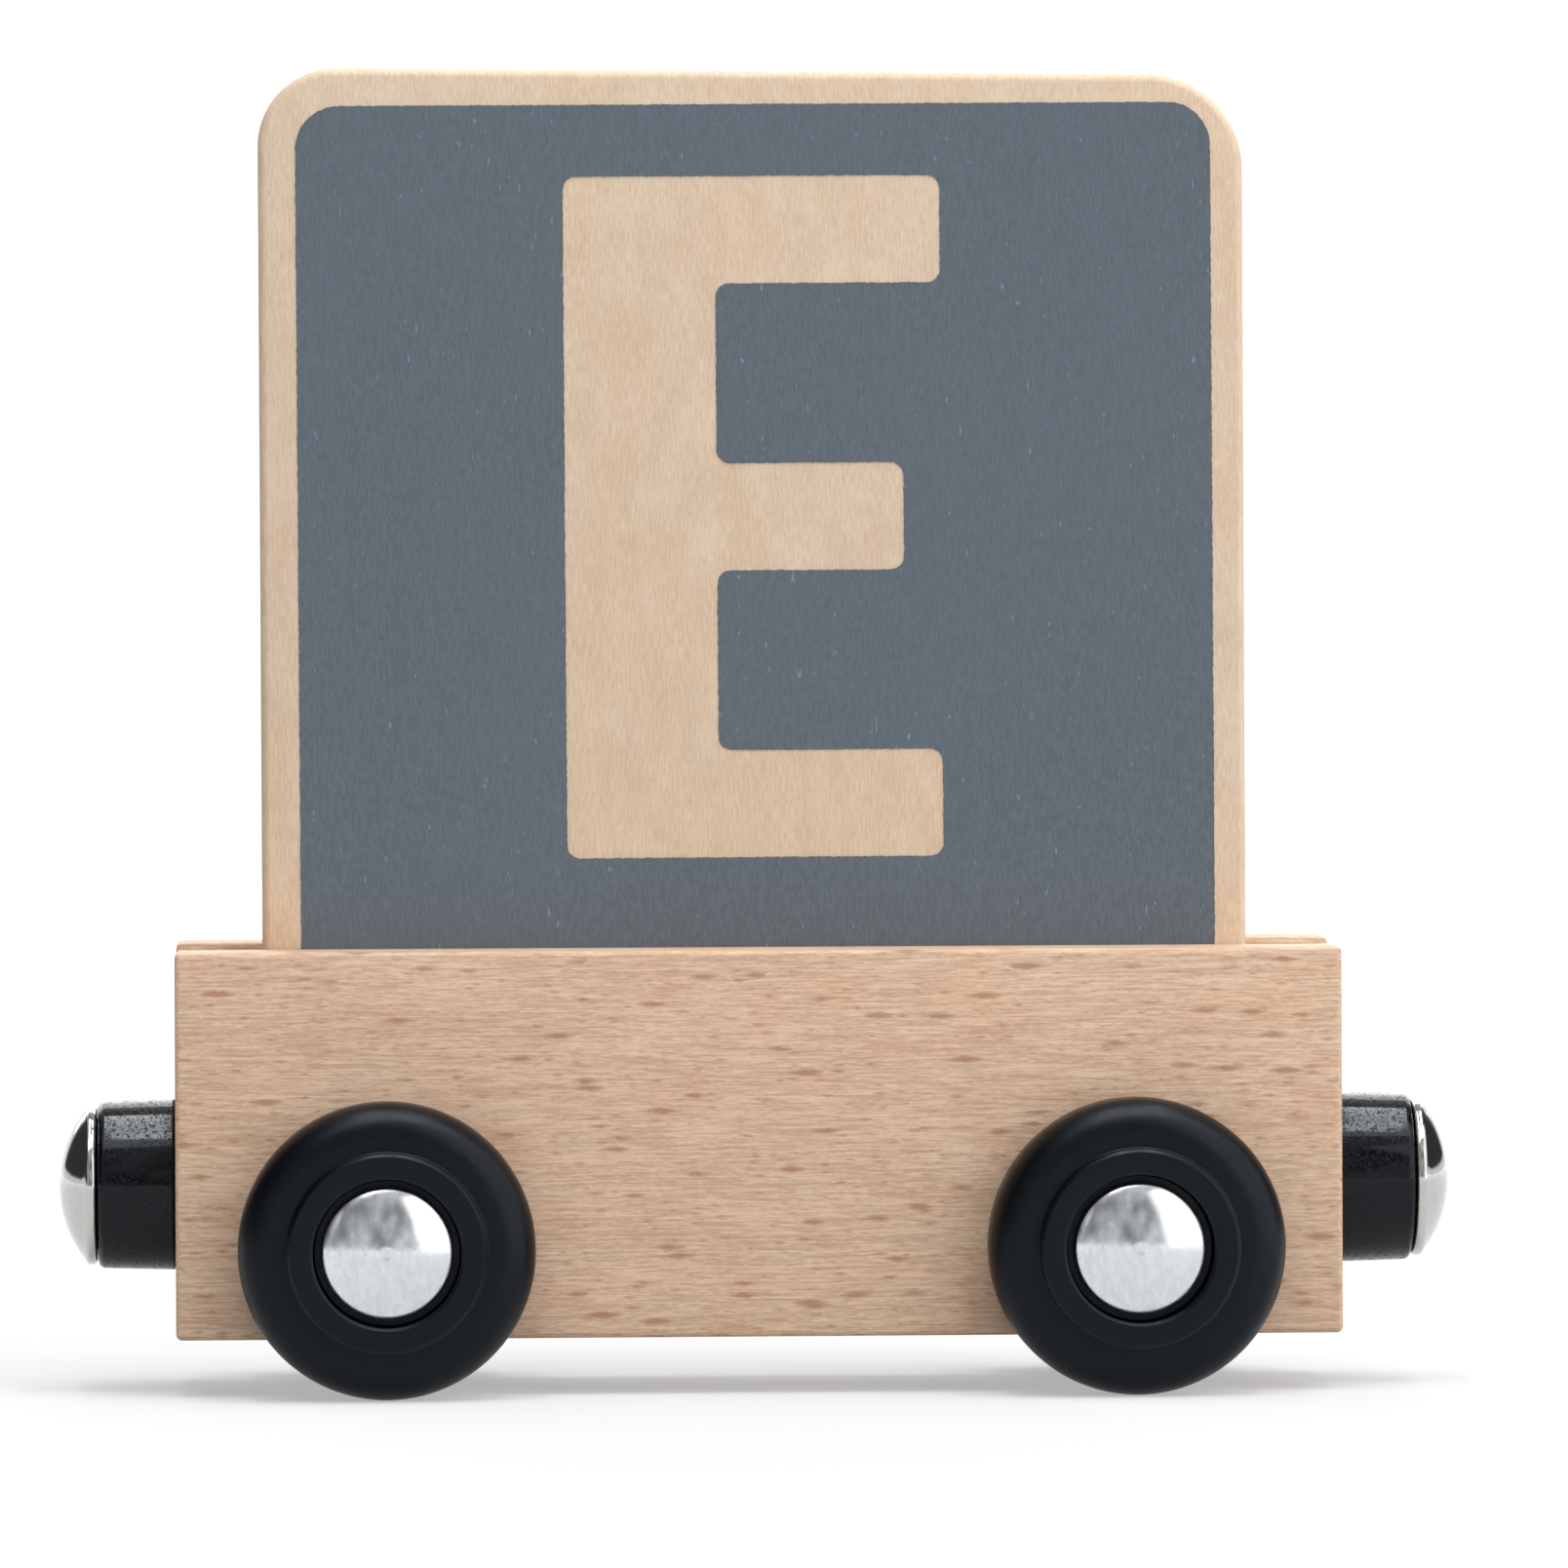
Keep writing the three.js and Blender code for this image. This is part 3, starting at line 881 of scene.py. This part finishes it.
class LETTERWAGON_OT_letter_board(bpy.types.Operator):
    """Makes the three plies of the letter board with its round corners and sanded edges"""

    bl_idname = "letter_wagon.letter_board"
    bl_label = "Letter Board"
    bl_options = {"REGISTER", "UNDO"}

    def execute(self, context):
        settings = context.scene.letter_wagon.board
        veneer = veneer_finish(settings)
        core = core_finish(settings)
        for name, facing, finish, slot in (
            ("front_ply", -1, veneer, "face_ply"),
            ("core_ply", 0, core, "core_ply"),
            ("back_ply", 1, veneer, "face_ply"),
        ):
            node = f"letter_board_{name}"
            ply = box_piece(f"board_{name}", *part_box(node))
            edit()
            self.round_corners(ply, settings)
            if facing:
                self.sand_face(ply, facing, settings)
            self.drop_top(ply, settings)
            leave_edit()
            smooth(ply)
            dressed(ply, "chassis", slot, finish, node)
        return {"FINISHED"}

    def round_corners(self, ply, settings):
        for side, radius in ((-1, settings.left_corner), (1, settings.right_corner)):

            def is_corner(edge, side=side):
                return all(
                    v.co.z > BOARD_HIGH.z - MM and v.co.x * side > BOARD_HIGH.x - MM
                    for v in edge.verts
                )

            select_where(ply, "edges", is_corner)
            bpy.ops.mesh.bevel(offset=radius, segments=24, affect="EDGES")

    def sand_face(self, ply, facing, settings):
        select_where(ply, "faces", lambda face: face.normal.y * facing > 0.9)
        bpy.ops.mesh.region_to_loop()
        bpy.ops.mesh.bevel(offset=settings.edge_round, segments=5, affect="EDGES")

    def drop_top(self, ply, settings):
        """Turns the upper end a little, as a hand-sanded edge falls to one side."""
        shoulder = BOARD_HIGH.z - settings.right_corner - MM
        select_where(ply, "verts", lambda vertex: vertex.co.z > shoulder)
        bpy.ops.transform.rotate(
            value=-settings.top_fall,
            orient_axis="Y",
            center_override=(BOARD_LOW.x + settings.left_corner, 0, BOARD_HIGH.z),
        )


class LETTERWAGON_OT_letter_print(bpy.types.Operator):
    """Makes the film of paint on the board, left open in the shape of a plain letter"""

    bl_idname = "letter_wagon.letter_print"
    bl_label = "Letter Print"
    bl_options = {"REGISTER", "UNDO"}

    def execute(self, context):
        settings = context.scene.letter_wagon.printed
        self.left = BOARD_LOW.x + settings.left_margin
        self.right = BOARD_HIGH.x - settings.right_margin
        self.top = BOARD_HIGH.z - settings.top_margin
        self.foot = BLOCK_HIGH.z - MM
        middle = Vector(((self.left + self.right) / 2, FRONT_FACE, (self.top + self.foot) / 2))
        deselect_everything()
        bpy.ops.mesh.primitive_plane_add(size=1, location=middle, rotation=(math.pi / 2, 0, 0))
        bpy.ops.transform.resize(value=(self.right - self.left, 1, self.top - self.foot))
        film = added("letter_print")
        edit()
        self.open_letter(film, settings)
        self.round_corners(film, settings)
        self.fray_edges(film, settings)
        bpy.ops.mesh.select_all(action="SELECT")
        bpy.ops.transform.rotate(value=settings.skew, orient_axis="Y", center_override=middle)
        bpy.ops.mesh.extrude_region_move(TRANSFORM_OT_translate={"value": (0, -settings.film, 0)})
        clean_up()
        leave_edit()
        dressed(film, "chassis", "letter_paint", print_finish(settings))
        return {"FINISHED"}

    def strokes(self, settings):
        """The letter's stem and arms, as (left, right, foot, top) boxes."""
        left = -settings.letter_width / 2
        right = settings.letter_width / 2
        foot = BLOCK_HIGH.z + settings.letter_foot
        top = foot + settings.letter_height
        middle = (foot + top) / 2
        half = settings.arm / 2
        short = right - settings.middle_arm_short
        return (
            (left, left + settings.stem, foot, top),
            (left, right, top - settings.arm, top),
            (left, short, middle - half, middle + half),
            (left, right, foot, foot + settings.arm),
        )

    def open_letter(self, film, settings):
        """Cuts the film along the letter's sides and takes out the faces inside it."""
        strokes = self.strokes(settings)
        for x in {x for stroke in strokes for x in stroke[:2]}:
            bpy.ops.mesh.select_all(action="SELECT")
            bpy.ops.mesh.bisect(plane_co=(x, 0, 0), plane_no=(1, 0, 0))
        for z in {z for stroke in strokes for z in stroke[2:]}:
            bpy.ops.mesh.select_all(action="SELECT")
            bpy.ops.mesh.bisect(plane_co=(0, 0, z), plane_no=(0, 0, 1))

        def in_letter(face):
            place = face.calc_center_median()
            return any(
                left < place.x < right and foot < place.z < top
                for left, right, foot, top in strokes
            )

        select_where(film, "faces", in_letter)
        bpy.ops.mesh.delete(type="FACE")

    def round_corners(self, film, settings):
        def is_upper_corner(vertex):
            outer = min(abs(vertex.co.x - self.left), abs(vertex.co.x - self.right)) < SAME_PLACE
            return outer and vertex.co.z > self.top - SAME_PLACE

        select_where(film, "verts", is_upper_corner)
        bpy.ops.mesh.bevel(offset=settings.corner, segments=16, affect="VERTICES")

        def is_letter_corner(vertex):
            """A corner on the open edge where two straight sides meet at an angle."""
            edges = [edge for edge in vertex.link_edges if edge.is_boundary]
            if len(edges) != 2 or abs(vertex.co.x) > settings.letter_width / 2 + SAME_PLACE:
                return False
            sides = [edge.other_vert(vertex).co - vertex.co for edge in edges]
            return abs(sides[0].normalized().dot(sides[1].normalized())) < 0.5

        select_where(film, "verts", is_letter_corner)
        bpy.ops.mesh.bevel(offset=settings.letter_corner, segments=6, affect="VERTICES")

    def fray_edges(self, film, settings):
        """Divides the open edges finely and lets them stray, as a screen print does."""
        for halving in range(EDGE_HALVINGS):
            least = LONGEST_EDGE / 2**halving
            select_where(
                film,
                "edges",
                lambda edge, least=least: edge.is_boundary and edge.calc_length() > least,
            )
            bpy.ops.mesh.subdivide(number_cuts=1)
        select_where(film, "edges", lambda edge: edge.is_boundary)
        bpy.ops.transform.vertex_random(offset=settings.ragged, uniform=1.0, seed=settings.seed)
        bpy.ops.mesh.select_all(action="SELECT")
        bpy.ops.transform.resize(value=(1, 0, 1), center_override=(0, FRONT_FACE, 0))


class LETTERWAGON_OT_axles(bpy.types.Operator):
    """Makes the two axles"""

    bl_idname = "letter_wagon.axles"
    bl_label = "Axles"
    bl_options = {"REGISTER", "UNDO"}

    def execute(self, context):
        settings = context.scene.letter_wagon.wheel
        rod = self.rod(settings)
        steel = axle_finish(settings)
        for end_name, _ in WAGON_ENDS:
            node = f"{end_name}_axle"
            axle = copied(rod, f"{end_name}_rod", Matrix.Translation(middle_of(node)))
            dressed(axle, "chassis", "axle_steel", steel, node)
        bpy.data.objects.remove(rod)
        return {"FINISHED"}

    def rod(self, settings):
        radius, _, end = turned_span("left_axle", "y")
        chamfer = settings.axle_chamfer
        profile = rounded(
            (
                (0, -end),
                (radius - chamfer, -end, 0),
                (radius, chamfer - end, 0),
                (radius, end - chamfer, 0),
                (radius - chamfer, end, 0),
                (0, end),
            )
        )
        return turned_piece("axle_master", profile, Vector(), Vector((0, 1, 0)), AXLE_STEPS)


class LETTERWAGON_OT_wheels(bpy.types.Operator):
    """Makes the four wheels with their round rims, bosses and recesses"""

    bl_idname = "letter_wagon.wheels"
    bl_label = "Wheels"
    bl_options = {"REGISTER", "UNDO"}

    def execute(self, context):
        settings = context.scene.letter_wagon.wheel
        master = self.wheel(settings)
        black = wheel_finish(settings)
        for side_name, end_name, node, place in axle_end_places("wheel"):
            wheel = copied(master, f"{side_name}_{end_name}_tread", place)
            dressed(wheel, f"{side_name}_{end_name}_wheel", "wheel_black", black, node)
        bpy.data.objects.remove(master)
        return {"FINISHED"}

    def wheel(self, settings):
        radius, inner, outer = turned_span("wheel_front_left", "y")
        back = inner + settings.inner_hub_length
        face = back + settings.tread
        floor = outer - settings.recess_depth
        edge = settings.boss_edge
        profile = rounded(
            (
                (settings.bore, inner),
                (settings.inner_hub, inner, FINE_FILLET),
                (settings.inner_hub, back, SEAT_FILLET),
                (radius, back, settings.back_round),
                (radius, face, settings.rim_round),
                (settings.boss, face, settings.boss_fillet),
                (settings.boss, outer - edge, BROKEN_EDGE),
                (settings.boss - edge, outer, BROKEN_EDGE),
                (settings.recess + edge, outer, BROKEN_EDGE),
                (settings.recess, outer - edge, BROKEN_EDGE),
                (settings.recess, floor, RECESS_FILLET),
                (settings.bore, floor, FINE_FILLET),
                (settings.bore, inner),
            ),
            steps=10,
        )
        return turned_piece("wheel_master", profile, Vector(), Vector((0, -1, 0)), WHEEL_STEPS)


class LETTERWAGON_OT_hub_caps(bpy.types.Operator):
    """Makes the four domed hub caps with the sockets for the axles"""

    bl_idname = "letter_wagon.hub_caps"
    bl_label = "Hub Caps"
    bl_options = {"REGISTER", "UNDO"}

    def execute(self, context):
        settings = context.scene.letter_wagon.wheel
        master = self.cap(settings)
        steel = cap_finish(settings)
        for side_name, end_name, node, place in axle_end_places("hub_cap"):
            cap = copied(master, f"{side_name}_{end_name}_dome", place)
            dressed(cap, "chassis", "hub_cap_steel", steel, node)
        bpy.data.objects.remove(master)
        return {"FINISHED"}

    def cap(self, settings):
        radius, seat, tip = turned_span("hub_cap_front_left", "y")
        rim_top = seat + settings.cap_rim
        _, _, axle_end = turned_span("left_axle", "y")
        socket_floor = axle_end + settings.cap_gap
        socket = settings.bore
        edge = radius - settings.cap_round
        dome = crown(edge, rim_top, tip - rim_top, steps=18)
        shell = rounded(
            (
                (0, socket_floor),
                (socket, socket_floor, 0),
                (socket, seat, FINE_FILLET),
                (radius, seat, SEAT_FILLET),
                (radius, rim_top - FINE_FILLET, settings.cap_round * 0.9),
                dome[1],
            )
        )
        pip = settings.cap_pip
        outside_pip = [point for point in dome[2:] if point.x > 1.2 * pip]
        dish = [1 - i / 4 for i in range(5)]
        depth = settings.cap_pip_depth
        dimple = [Vector((pip * r, tip - depth * (1 - r * r))) for r in dish]
        profile = shell + outside_pip + dimple
        return turned_piece("hub_cap_master", profile, Vector(), Vector((0, -1, 0)), CAP_STEPS)


class LETTERWAGON_OT_couplers(bpy.types.Operator):
    """Makes the sleeves and dome-headed nails of both couplers and finishes their magnets"""

    bl_idname = "letter_wagon.couplers"
    bl_label = "Couplers"
    bl_options = {"REGISTER", "UNDO"}

    def execute(self, context):
        settings = context.scene.letter_wagon.coupler
        black = sleeve_finish(settings)
        nickel = nickel_finish(settings)
        ferrite = ferrite_finish(settings)
        sleeve_master = self.sleeve(settings)
        nail_master = self.nail(settings)
        for end_name, turn in (("right", 0.0), ("left", math.pi)):
            body = f"{end_name}_coupler"
            place = Matrix.Rotation(turn, 4, "Z")
            sleeve = copied(sleeve_master, f"{end_name}_sleeve", place)
            dressed(sleeve, body, "sleeve_black", black, f"{body}_sleeve")

            nail = copied(nail_master, f"{end_name}_nail", place)
            dressed(nail, "chassis", "coupler_nickel", nickel, f"{body}_nail")

            magnet = frame["nodes"][f"{body}_magnet"]
            magnet.material_slots[0].material = ferrite
        bpy.data.objects.remove(sleeve_master)
        bpy.data.objects.remove(nail_master)
        return {"FINISHED"}

    def turned_on_axis(self, name, profile):
        axis = Vector((0, 0, JOINT_PLACE["right_coupler"].z))
        return turned_piece(name, profile, axis, Vector((1, 0, 0)), COUPLER_STEPS)

    def sleeve(self, settings):
        _, floor_under, _ = turned_span("right_coupler_sleeve", "x")
        base = BLOCK_HIGH.x + settings.seam
        tip = BLOCK_HIGH.x + settings.head_seat - settings.seam
        pocket = settings.tip_radius - settings.wall
        floor = floor_under + settings.floor
        chamfer = settings.base_chamfer
        profile = rounded(
            (
                (settings.hole, base),
                (settings.base_radius - chamfer, base, BROKEN_EDGE),
                (settings.base_radius, base + chamfer, EASY_FILLET),
                (settings.tip_radius, tip, settings.tip_round),
                (pocket, tip, EASY_FILLET),
                (pocket, floor, FINE_FILLET),
                (settings.hole, floor, BROKEN_EDGE),
                (settings.hole, base),
            ),
            steps=8,
        )
        return self.turned_on_axis("sleeve_master", profile)

    def nail(self, settings):
        radius, point, tip = turned_span("right_coupler_nail", "x")
        seat = BLOCK_HIGH.x + settings.head_seat
        rim_top = seat + settings.head_rim
        dome = crown(radius - FINE_FILLET, rim_top, tip - rim_top, steps=28)
        shank = rounded(
            (
                (0, point),
                (settings.nail, point + settings.nail_point, 0),
                (settings.nail, seat, FINE_FILLET),
                (radius, seat, settings.head_round),
                (radius, rim_top, settings.head_round),
                dome[2],
            ),
            steps=8,
        )
        return self.turned_on_axis("nail_master", shank + dome[3:])


class LETTERWAGON_OT_stage(bpy.types.Operator):
    """Makes the floor with its backdrop, the lamps, the surroundings and the camera"""

    bl_idname = "letter_wagon.stage"
    bl_label = "Stage"
    bl_options = {"REGISTER", "UNDO"}

    def execute(self, context):
        settings = context.scene.letter_wagon.stage
        context.scene.view_settings.view_transform = "Standard"
        self.backdrop(settings)
        self.lamps()
        self.surroundings(context.scene, settings)
        self.camera(context.scene, settings)
        return {"FINISHED"}

    def backdrop(self, settings):
        """A floor that sweeps up behind the wagon."""
        deselect_everything()
        bpy.ops.mesh.primitive_plane_add(size=1, location=(0, 0, 0))
        bpy.ops.transform.resize(value=(settings.floor_width, settings.floor_depth, 1))
        sweep = added("backdrop")
        rear = settings.floor_depth / 2 - MM
        edit()
        select_where(sweep, "edges", lambda edge: all(v.co.y > rear for v in edge.verts))
        rise = (0, 0, settings.wall_height)
        bpy.ops.mesh.extrude_region_move(TRANSFORM_OT_translate={"value": rise})
        select_where(
            sweep, "edges", lambda edge: all(v.co.y > rear and v.co.z < MM for v in edge.verts)
        )
        bpy.ops.mesh.bevel(offset=settings.sweep_round, segments=32, affect="EDGES")
        leave_edit()
        smooth(sweep)
        sweep.data.materials.append(self.white(settings))
        sweep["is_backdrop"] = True

    def white(self, settings):
        """White paper, which also shows white where the light falls off round the wagon."""
        paper = Finish("white_paper")
        ray = paper.nodes.new("ShaderNodeLightPath")
        seen = paper.math("MAXIMUM", ray.outputs["Is Camera Ray"], ray.outputs["Is Glossy Ray"])
        seen = paper.math("MAXIMUM", seen, ray.outputs["Is Transmission Ray"])
        away = paper.nodes.new("ShaderNodeVectorMath")
        away.operation = "LENGTH"
        paper.put(away.inputs[0], paper.place())
        near, far = FLOOR_FADE
        shown = paper.spread(
            away.outputs["Value"], near, far, settings.floor_near, settings.floor_far
        )
        paper.set(
            Base_Color=settings.floor_white,
            Roughness=0.9,
            Emission_Color=(1, 1, 1),
            Emission_Strength=paper.times(seen, shown),
            Specular_IOR_Level=0.0,
        )
        return paper.material

    def lamps(self):
        """Two bright strips above the wagon, wide boxes before and beside it, one behind.

        Places and sizes are in metres, powers in watts.
        """
        for name, place, aim, width, height, power in (
            ("left_strip", (-0.13, 0.0, 1.10), (-0.13, 0.0, 0.0), 0.13, 0.90, 4.2),
            ("right_strip", (0.217, 0.0, 1.10), (0.217, 0.0, 0.0), 0.13, 0.90, 3.6),
            ("front_box", (0.15, -0.46, 1.27), (0.0, 0.0, 0.05), 1.60, 0.50, 7.3),
            ("right_box", (1.07, -0.60, 0.60), (0.0, 0.0, 0.05), 2.00, 1.50, 14.4),
            ("back_box", (0.0, 1.10, 0.60), (0.0, 0.0, 0.04), 1.40, 0.80, 7.0),
        ):
            deselect_everything()
            turn = (Vector(aim) - Vector(place)).to_track_quat("-Z", "Y").to_euler()
            bpy.ops.object.light_add(type="AREA", location=place, rotation=turn)
            lamp = bpy.context.object
            lamp.name = name
            lamp.data.shape = "RECTANGLE"
            lamp.data.size = width
            lamp.data.size_y = height
            lamp.data.energy = power
            lamp.visible_camera = False

    def surroundings(self, scene, settings):
        """A room: pale to the horizon, grey before the wagon, dark at its ends, dim above."""
        world = bpy.data.worlds.new("studio_room")
        scene.world = world
        world.use_nodes = True
        background = world.node_tree.nodes["Background"]
        room = NodeBench(world.node_tree)
        direction = room.nodes.new("ShaderNodeTexCoord").outputs["Generated"]
        along, back, up = room.split(direction)
        panels = room.noise(room.scaled(direction, (8, 0, 3)), detail=2)
        front = room.spread(
            panels, 0.36, 0.64, settings.room_panel_dark, settings.room_panel_light
        )
        ends = room.times(
            room.spread(room.math("ABSOLUTE", along), 0.42, 0.60),
            room.spread(back, -0.62, -0.45),
        )
        wall = room.spread(ends, 0.0, 1.0, front, settings.room_ends)
        ceiling = room.spread(up, 0.75, 0.92, wall, settings.room_ceiling)
        strength = room.spread(up, 0.02, 0.045, settings.room_horizon, ceiling)
        room.put(background.inputs["Strength"], strength)
        room.put(background.inputs["Color"], (1, 1, 1))

    def camera(self, scene, settings):
        yaw = settings.camera_yaw
        pitch = settings.camera_pitch
        ahead = Vector(
            (math.sin(yaw) * math.cos(pitch), math.cos(yaw) * math.cos(pitch), math.sin(pitch))
        )
        upright = ahead.to_track_quat("-Z", "Y").to_matrix()
        roll = Matrix.Rotation(settings.camera_roll, 3, "Z")
        deselect_everything()
        bpy.ops.object.camera_add(
            location=settings.camera_place, rotation=(upright @ roll).to_euler()
        )
        camera = bpy.context.object
        camera.name = "photo_camera"
        camera.data.sensor_width = 36.0
        camera.data.lens = settings.focal_length
        camera.data.clip_start = 0.01
        camera.data.clip_end = 50.0
        scene.camera = camera


PIECE_OPERATORS = (
    LETTERWAGON_OT_beech_block,
    LETTERWAGON_OT_letter_board,
    LETTERWAGON_OT_letter_print,
    LETTERWAGON_OT_axles,
    LETTERWAGON_OT_wheels,
    LETTERWAGON_OT_hub_caps,
    LETTERWAGON_OT_couplers,
    LETTERWAGON_OT_stage,
)


class LETTERWAGON_PT_panel(bpy.types.Panel):
    """Lists the operators and the settings of the wagon"""

    bl_idname = "LETTERWAGON_PT_panel"
    bl_label = "Letter Wagon"
    bl_space_type = "VIEW_3D"
    bl_region_type = "UI"
    bl_category = "Letter Wagon"

    def draw(self, context):
        for operator in PIECE_OPERATORS:
            self.layout.operator(operator.bl_idname)
        settings = context.scene.letter_wagon
        for group in ("block", "board", "printed", "wheel", "coupler", "stage"):
            box = self.layout.box()
            box.label(text=group.capitalize())
            values = getattr(settings, group)
            for name in values.__annotations__:
                box.prop(values, name)


CLASSES = (
    BlockSettings,
    BoardSettings,
    PrintSettings,
    WheelSettings,
    CouplerSettings,
    StageSettings,
    WagonSettings,
    *PIECE_OPERATORS,
    LETTERWAGON_PT_panel,
)


def register():
    for kind in CLASSES:
        bpy.utils.register_class(kind)
    bpy.types.Scene.letter_wagon = PointerProperty(type=WagonSettings)


def unregister():
    del bpy.types.Scene.letter_wagon
    for kind in reversed(CLASSES):
        bpy.utils.unregister_class(kind)


def main():
    register()
    bpy.ops.letter_wagon.beech_block()
    bpy.ops.letter_wagon.letter_board()
    bpy.ops.letter_wagon.letter_print()
    bpy.ops.letter_wagon.axles()
    bpy.ops.letter_wagon.wheels()
    bpy.ops.letter_wagon.hub_caps()
    bpy.ops.letter_wagon.couplers()
    bpy.ops.letter_wagon.stage()
    boxes = {"cad": CAD_BOX, "visual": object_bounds()}
    {name: [list(corner) for corner in box] for name, box in boxes.items()}


if __name__ == "__main__":
    main()
